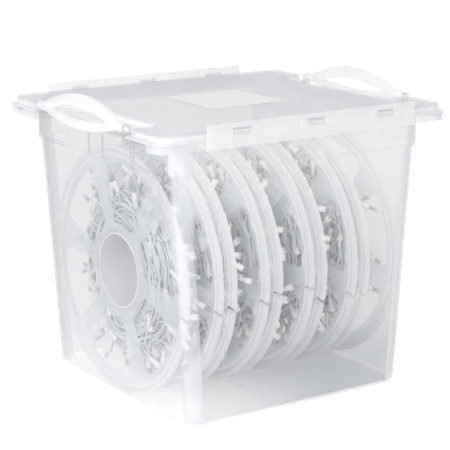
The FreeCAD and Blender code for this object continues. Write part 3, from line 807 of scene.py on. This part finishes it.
def wind_side(shape, centre, rng, sets, side):
    """The turns that show on one side of a pack."""
    hub_gap = 0.004
    pack_gap = 0.0012
    drift_size = 0.0060
    lift_size = 0.0020
    wire = sets.wire_radius
    room = sets.room_half - wire
    low = sets.bore_radius + hub_gap
    for number in range(sets.side_turns):
        base = between(low, sets.side_radius, number / sets.side_turns)
        drift = wander(rng, drift_size, (1, 2, 3, 4, 6))
        lift = wander(rng, lift_size, (1, 2, 3, 5))
        path = []
        for angle in turns(TURN_STEPS):
            across = sets.pack_half + wire + pack_gap + lift(angle)
            radius = max(sets.bore_radius + wire, base + drift(angle))
            path.append(round_about(centre, angle, radius, side * min(across, room)))
        shape.tube(path, wire, loop=True)


def stray_strand(shape, centre, rng, sets, side):
    """A stray length on a side of the pack, over and under its neighbours, with both ends in the pack."""
    hub_gap = 0.005
    edge_gap = 0.003
    ripple_size = 0.0025
    ripple_rate = 9
    dive = 0.008
    wire = sets.wire_radius
    low = sets.bore_radius + hub_gap
    high = sets.side_radius - edge_gap
    start = rng.uniform(0, math.tau)
    span = rng.choice((-1, 1)) * rng.uniform(0.22, 0.95)
    first, last = (rng.uniform(low, high) for _ in range(2))
    bow = rng.uniform(-0.010, 0.026)
    shift = rng.uniform(0, math.tau)
    near, far = (rng.uniform(sets.pack_half + wire, sets.room_half - wire) for _ in range(2))
    path = []
    for part in shares(13):
        swell = math.sin(part * math.pi)
        ripple = ripple_size * swell * math.sin(part * ripple_rate + shift)
        radius = max(between(first, last, part) + bow * swell + ripple, sets.bore_radius + wire)
        across = between(near, far, part) - dive * (1 - swell) ** 3
        path.append(round_about(centre, start + span * part, radius, side * across))
    shape.tube(path, wire)


def loose_loops(shape, centre, rng, sets):
    """Strands that leave the outside of a pack, stand off it in a bow and go back."""
    half = sets.pack_half
    room = sets.room_half - sets.wire_radius
    skew = 0.25
    fullness = 1.6
    for number in range(sets.outer_loops):
        start = rng.uniform(-0.7, 0.7) * half
        end = held(start + rng.uniform(-1, 1) * half, room * 0.9)
        base = min(crown(start, sets), crown(end, sets))
        middle = math.tau * (number + rng.random()) / sets.outer_loops
        span = rng.uniform(0.25, 0.6)
        rise = rng.uniform(0.012, 0.042)
        path = []
        for part in shares(18):
            angle = middle + span * (part - 0.5) + skew * span * math.sin(part * math.tau)
            radius = base + rise * math.sin(part * math.pi) ** fullness
            path.append(round_about(centre, angle, radius, between(start, end, part)))
        shape.tube(path, sets.wire_radius)


def wire_turns(shape, centre, rng, sets):
    """The wire that shows on a pack: its outside, its two tangled sides and the loops that came loose."""
    wind_outside(shape, centre, rng, sets)
    for side in (-1, 1):
        wind_side(shape, centre, rng, sets, side)
        for _ in range(sets.side_strands):
            stray_strand(shape, centre, rng, sets, side)
    loose_loops(shape, centre, rng, sets)


def pack_core(shape, centre, rng, sets):
    """The buried turns as one lumpy ring, closed all round."""
    lump_size = 0.0014
    lump_out = 0.8
    lump_aside = 0.4
    foot = 0.010
    shoulder = 0.006
    half = sets.pack_half
    low = sets.bore_radius
    flank = [(half, low), (half, low + foot), (half, sets.side_radius - shoulder)]
    crest = [half * part for part in (0.94, 0.7, 0.35, 0.0, -0.35, -0.7, -0.94)]
    outline = flank + [(across, crown(across, sets)) for across in crest]
    outline += [(-across, radius) for across, radius in reversed(flank)]
    waves = [wander(rng, lump_size, (3, 7, 11, 19)) for _ in outline]
    last = len(outline) - 1
    rings = []
    for angle in turns(CORE_STEPS):
        ring = []
        for index, (across, radius) in enumerate(outline):
            swell = waves[index](angle) if 0 < index < last else 0
            aside = math.copysign(swell * lump_aside, across)
            ring.append(round_about(centre, angle, radius + swell * lump_out, across + aside))
        rings.append(ring)
    shape.rings(rings, loop=True)


def aim(place, way):
    """A matrix that sets a turned form at a place with its length along a direction."""
    turn = way.to_track_quat("Z", "Y").to_matrix().to_4x4()
    return Matrix.Translation(place) @ turn


def reel_ways(angle):
    """The directions out from a reel's axis and round it."""
    out = Vector((0, -math.cos(angle), math.sin(angle)))
    along = Vector((0, math.sin(angle), math.cos(angle)))
    return out, along


def outer_lamp_spots(centre, rng, strings, sets):
    """Places and directions of the lamps that bristle from the outside of a pack."""
    foot = 0.003
    stand_off = 0.026
    low_bias = 1.6
    spots = []
    long = sets.holder_length + sets.bulb_length
    room = strings.room_half - sets.holder_radius
    for number in range(sets.outer_lamps):
        angle = math.tau * (number + rng.uniform(-0.45, 0.45)) / sets.outer_lamps
        out, along = reel_ways(angle)
        across = rng.uniform(-0.8, 0.8) * room
        lean = math.radians(rng.uniform(22, 82))
        turn = rng.uniform(0, math.tau)
        flat = Vector((math.cos(turn), 0, 0)) + along * math.sin(turn)
        way = flat * math.cos(lean) + out * math.sin(lean)
        way.x = max((-room - across) / long, min((room - across) / long, way.x))
        rest = Vector((0, way.y, way.z)).normalized() * math.sqrt(1 - way.x ** 2)
        way = Vector((way.x, rest.y, rest.z))
        base = crown(across, strings) + foot + stand_off * rng.random() ** low_bias
        spots.append((centre + out * base + Vector((across, 0, 0)), way))
    return spots


def side_lamp_spots(centre, rng, strings, sets, side):
    """Places and directions of the lamps that lie in the windows on one side of a pack."""
    spots = []
    room = strings.room_half - sets.holder_radius
    for number in range(sets.side_lamps):
        angle = math.tau * (number + rng.uniform(-0.4, 0.4)) / sets.side_lamps
        out, along = reel_ways(angle)
        turn = math.radians(rng.uniform(-105, 105))
        way = (out * math.cos(turn) + along * math.sin(turn)).normalized()
        base = rng.uniform(0.064, 0.098)
        across = side * room * rng.uniform(0.9, 1.0)
        spots.append((centre + out * base + Vector((across, 0, 0)), way))
    return spots


def lamp_spots(centre, rng, strings, sets):
    """Places and directions of all lamps on one pack."""
    spots = outer_lamp_spots(centre, rng, strings, sets)
    for side in (-1, 1):
        spots += side_lamp_spots(centre, rng, strings, sets, side)
    return spots


def lamp_wires(shape, centre, rng, strings, spots):
    """The two strands that run from each holder back into the pack."""
    in_holder = 0.003
    behind_holder = 0.008
    in_pack = 0.001
    wire = strings.wire_radius
    for at, way in spots:
        away = at - centre
        angle = math.atan2(away.z, -away.y)
        reach = math.hypot(away.y, away.z)
        for turn in (-1, 1):
            across = held(away.x + turn * rng.uniform(0.001, 0.005), strings.room_half - wire)
            goal_angle = angle + turn * rng.uniform(0.08, 0.30)
            goal = round_about(centre, goal_angle, min(reach, crown(across, strings)) - in_pack, across)
            first = at + way * in_holder
            back = at - way * behind_holder
            path = []
            for part in shares(6):
                path.append(first * (1 - part) ** 2 + back * (2 * part * (1 - part)) + goal * part ** 2)
            shape.tube(path, wire, LAMP_WIRE_SIDES)


def lamp_forms(sets):
    """Profiles of a holder, its glass and its leads, as (along, radius) points."""
    long, mouth = sets.holder_length, sets.holder_radius
    holder = [(0.0, HOLDER_HOLE)]
    holder += [(long * along, mouth * radius) for along, radius in HOLDER_PROFILE]

    def in_bulb(profile):
        return [(long + sets.bulb_length * along, sets.bulb_radius * radius) for along, radius in profile]

    return holder, in_bulb(GLASS_PROFILE), in_bulb(LEAD_PROFILE)


# Operators


def dress(nodes, material):
    """Give CAD nodes a finish."""
    for name in nodes:
        mesh = frame["nodes"][name].data
        mesh.materials.clear()
        mesh.materials.append(material)


class LIGHTBOX_OT_tote(bpy.types.Operator):
    """Finish the tote"""

    bl_idname = "light_box.tote"
    bl_label = "Tote"

    def execute(self, context):
        looks = context.scene.light_box.plastics
        thick = (
            (at_top, looks.lid_rim_colour, 0.05),
            (at_ends, looks.end_colour, 0.09),
            # Painted light and shade: light at the end walls' foot and on the floor, a highlight on the
            # corners, shade at the long walls' foot
            (at_end_foot_painted_light, looks.milky_and_painted_light_colour, 0.0),
            (at_painted_foot_shade, looks.foot_colour, 0.25),
            (at_floor, looks.milky_and_painted_light_colour, -0.06),
            (at_corners, looks.milky_and_painted_light_colour, 0.24))
        plastic = moulded_plastic("tote_plastic", looks.tote_colour, looks.tote_haze,
                                  roughness=0.30, edge=0.22, grain=0.03, thick=thick)
        dress(["tote"], plastic)
        return {"FINISHED"}


class LIGHTBOX_OT_lid(bpy.types.Operator):
    """Finish the lid and lay its blank label"""

    bl_idname = "light_box.lid"
    bl_label = "Lid"

    def execute(self, context):
        looks = context.scene.light_box.plastics
        thick = ((at_lid_rim, looks.lid_rim_colour, 0.15),)
        plastic = moulded_plastic("lid_plastic", looks.lid_colour, looks.lid_haze,
                                  roughness=0.30, edge=0.20, grain=0.015, thick=thick)
        dress(["lid"], plastic)
        rib_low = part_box("lid")[0][2]
        self.label(rib_low + LID_RIB_DEPTH + LID_TOP_RISE)
        return {"FINISHED"}

    def label(self, top):
        """A plain paper label on the lid's top, rounded at its corners and eased at its upper edge."""
        rim = []
        for right, rear, turn in ((1, 1, 0), (-1, 1, 90), (-1, -1, 180), (1, -1, 270)):
            for part in shares(4):
                angle = math.radians(turn + 90 * part)
                rim.append((right * (LABEL_HALF_X - LABEL_BEND) + LABEL_BEND * math.cos(angle),
                            rear * (LABEL_HALF_Y - LABEL_BEND) + LABEL_BEND * math.sin(angle)))
        inset = 0.97
        crest = 1.2
        low = top + LABEL_GAP
        levels = ((1.0, low), (1.0, low + LABEL_THICK), (inset, low + LABEL_THICK * crest))
        shape = Shape()
        shape.rings([[Vector((x * grow, y * grow, z)) for x, y in rim] for grow, z in levels])
        shape.finish("lid_label", label_paper("label_paper"), "lid", "white_plastic", False)


class LIGHTBOX_OT_latches(bpy.types.Operator):
    """Finish the latches and the ring handles"""

    bl_idname = "light_box.latches"
    bl_label = "Latches and handles"

    def execute(self, context):
        looks = context.scene.light_box.plastics
        white = moulded_plastic("white_plastic", looks.white_colour, looks.white_haze,
                                roughness=0.34, edge=0.2, grain=0.03)
        dress(["front_latch", "rear_latch", "left_handle", "right_handle"], white)
        return {"FINISHED"}


class LIGHTBOX_OT_reels(bpy.types.Operator):
    """Finish the reel halves"""

    bl_idname = "light_box.reels"
    bl_label = "Reel halves"

    def execute(self, context):
        looks = context.scene.light_box.plastics
        thick = (
            (at_rim, looks.hub_colour, 0.28),
            (at_groove, scaled(looks.reel_colour, 0.8), 0.05),
            (at_hub, looks.hub_colour, 0.50))
        plastic = moulded_plastic("reel_plastic", looks.reel_colour, looks.reel_haze,
                                  roughness=0.32, edge=0.30, grain=0.04, thick=thick)
        dress([f"{reel}_{half}" for reel in REELS for half in ("near_half", "far_half")], plastic)
        return {"FINISHED"}


class LIGHTBOX_OT_strings(bpy.types.Operator):
    """Wind the wire packs"""

    bl_idname = "light_box.strings"
    bl_label = "Wound wire"

    def execute(self, context):
        sets = context.scene.light_box.strings
        cover = wire_cover("wire_cover", sets.wire_colour)
        depth = pack_shade("wire_painted_shade", sets.pack_shade_colour, sets.pack_foot_colour)
        for number, reel in enumerate(REELS):
            rng = random.Random(WIRE_SEED + number)
            centre = reel_place(reel)
            core = Shape()
            pack_core(core, centre, rng, sets)
            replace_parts(core.finish(reel + "_pack", depth, reel, "wire_cover"), reel + "_wire_core")
            wound = Shape()
            wire_turns(wound, centre, rng, sets)
            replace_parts(wound.finish(reel + "_turns", cover, reel, "wire_cover"), reel + "_wire_winding")
        return {"FINISHED"}


class LIGHTBOX_OT_lamps(bpy.types.Operator):
    """Set the lamps on the wire"""

    bl_idname = "light_box.lamps"
    bl_label = "Lamps"

    def execute(self, context):
        sets = context.scene.light_box.lamps
        strings = context.scene.light_box.strings
        white = holder_plastic("holder_plastic", sets.holder_colour)
        clear = bulb_glass("bulb_glass", sets.glass_colour)
        metal = lead_metal("lead_metal")
        cover = bpy.data.materials["wire_cover"]
        holder, glass, lead = lamp_forms(sets)
        for number, reel in enumerate(REELS):
            rng = random.Random(LAMP_SEED + number)
            centre = reel_place(reel)
            spots = lamp_spots(centre, rng, strings, sets)
            holders, bulbs, leads, feeds = (Shape() for _ in range(4))
            for at, way in spots:
                place = aim(at, way)
                holders.turned(holder, place, HOLDER_SIDES)
                bulbs.turned(glass, place, BULB_SIDES)
                leads.turned(lead, place, LEAD_SIDES)
            lamp_wires(feeds, centre, rng, strings, spots)
            feeds.finish(reel + "_lamp_wires", cover, reel, "wire_cover")
            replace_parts(holders.finish(reel + "_holders", white, reel, "holder_plastic"),
                        reel + "_lamp_holders")
            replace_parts(bulbs.finish(reel + "_glass", clear, reel, "bulb_glass"), reel + "_bulbs")
            leads.finish(reel + "_leads", metal, reel, "bulb_glass")
        return {"FINISHED"}


class LIGHTBOX_OT_stage(bpy.types.Operator):
    """Build the white studio, its lamps and the camera"""

    bl_idname = "light_box.stage"
    bl_label = "Studio"

    def execute(self, context):
        sets = context.scene.light_box.stage
        scene = context.scene
        scene.view_settings.view_transform = "Standard"
        scene.cycles.transparent_max_bounces = SKINS_SEEN_THROUGH
        self.floor(scene, sets)
        self.sky(scene, sets)
        self.lamp(scene, "key_lamp", Vector(sets.key_place), sets.key_size, sets.key_power)
        self.lamp(scene, "front_lamp", Vector(sets.front_place), sets.front_size, sets.front_power)
        self.camera(scene, sets)
        return {"FINISHED"}

    def floor(self, scene, sets):
        """A thin wide slab just under the box."""
        corners = [(x * FLOOR_REACH, y * FLOOR_REACH) for x, y in ((-1, -1), (1, -1), (1, 1), (-1, 1))]
        shape = Shape()
        shape.rings([[Vector((x, y, z)) for x, y in corners] for z in FLOOR_LEVELS])
        mesh = bpy.data.meshes.new("studio_floor")
        mesh.from_pydata(shape.points, [], shape.faces)
        mesh.materials.append(studio_white("studio_floor", sets.floor_colour, sets.floor_glow))
        floor = bpy.data.objects.new("studio_floor", mesh)
        scene.collection.objects.link(floor)

    def sky(self, scene, sets):
        """An even fill light, which shows as white where it is looked at."""
        world = bpy.data.worlds.new("studio_sky")
        scene.world = world
        sky = Finish(world)
        fill = sky.node("ShaderNodeBackground", None, {"Color": (1, 1, 1), "Strength": sets.sky_strength})
        white = sky.node("ShaderNodeBackground", None, {"Color": (1, 1, 1), "Strength": 1.0})
        mixed = sky.node("ShaderNodeMixShader", None, {0: sky.seen(), 1: fill, 2: white})
        sky.close(mixed, "ShaderNodeOutputWorld")

    def lamp(self, scene, name, place, size, power):
        """A round soft lamp that points at the box."""
        light = bpy.data.lights.new(name, "AREA")
        light.shape = "DISK"
        light.size = size
        light.energy = power
        lamp = bpy.data.objects.new(name, light)
        lamp.location = place
        lamp.rotation_euler = (LAMP_AIM - place).to_track_quat("-Z", "Y").to_euler()
        scene.collection.objects.link(lamp)

    def camera(self, scene, sets):
        """The photograph's camera."""
        turn, rise = sets.camera_turn, sets.camera_rise
        back = Vector((math.sin(turn) * math.cos(rise), -math.cos(turn) * math.cos(rise), math.sin(rise)))
        lens = bpy.data.cameras.new("photo_camera")
        lens.sensor_width = SENSOR
        lens.sensor_fit = "HORIZONTAL"
        lens.lens = sets.lens_pixels / IMAGE_SIDE * SENSOR
        lens.clip_start = NEAREST_SEEN
        camera = bpy.data.objects.new("photo_camera", lens)
        camera.location = Vector((0, 0, sets.aim_height)) + back * sets.camera_distance
        camera.rotation_euler = (-back).to_track_quat("-Z", "Y").to_euler()
        scene.collection.objects.link(camera)
        scene.camera = camera


OPERATORS = (LIGHTBOX_OT_tote, LIGHTBOX_OT_lid, LIGHTBOX_OT_latches, LIGHTBOX_OT_reels, LIGHTBOX_OT_strings,
             LIGHTBOX_OT_lamps, LIGHTBOX_OT_stage)


class LightBoxSettings(bpy.types.PropertyGroup):
    """All settings of the box."""

    plastics: bpy.props.PointerProperty(type=PlasticSettings, name="Plastics", description="Moulded plastics")
    strings: bpy.props.PointerProperty(type=StringSettings, name="Strings", description="Wound wire")
    lamps: bpy.props.PointerProperty(type=LampSettings, name="Lamps", description="Mini lamps")
    stage: bpy.props.PointerProperty(type=StageSettings, name="Studio", description="Lights and camera")


class LIGHTBOX_PT_panel(bpy.types.Panel):
    """Lists the steps and settings of the box"""

    bl_idname = "LIGHTBOX_PT_panel"
    bl_label = "Light Box"
    bl_space_type = "VIEW_3D"
    bl_region_type = "UI"
    bl_category = "Light Box"

    def draw(self, context):
        column = self.layout.column(align=True)
        for operator in OPERATORS:
            column.operator(operator.bl_idname)
        for name, group in GROUPS.items():
            box = self.layout.box()
            box.label(text=group.__doc__)
            values = getattr(context.scene.light_box, name)
            for key in group.__annotations__:
                box.prop(values, key)


CLASSES = (*GROUPS.values(), LightBoxSettings, *OPERATORS, LIGHTBOX_PT_panel)


def register():
    for item in CLASSES:
        bpy.utils.register_class(item)
    bpy.types.Scene.light_box = bpy.props.PointerProperty(type=LightBoxSettings)


def unregister():
    del bpy.types.Scene.light_box
    for item in reversed(CLASSES):
        bpy.utils.unregister_class(item)


def main():
    register()
    bpy.ops.light_box.tote()
    bpy.ops.light_box.lid()
    bpy.ops.light_box.latches()
    bpy.ops.light_box.reels()
    bpy.ops.light_box.strings()
    bpy.ops.light_box.lamps()
    bpy.ops.light_box.stage()


if __name__ == "__main__":
    main()
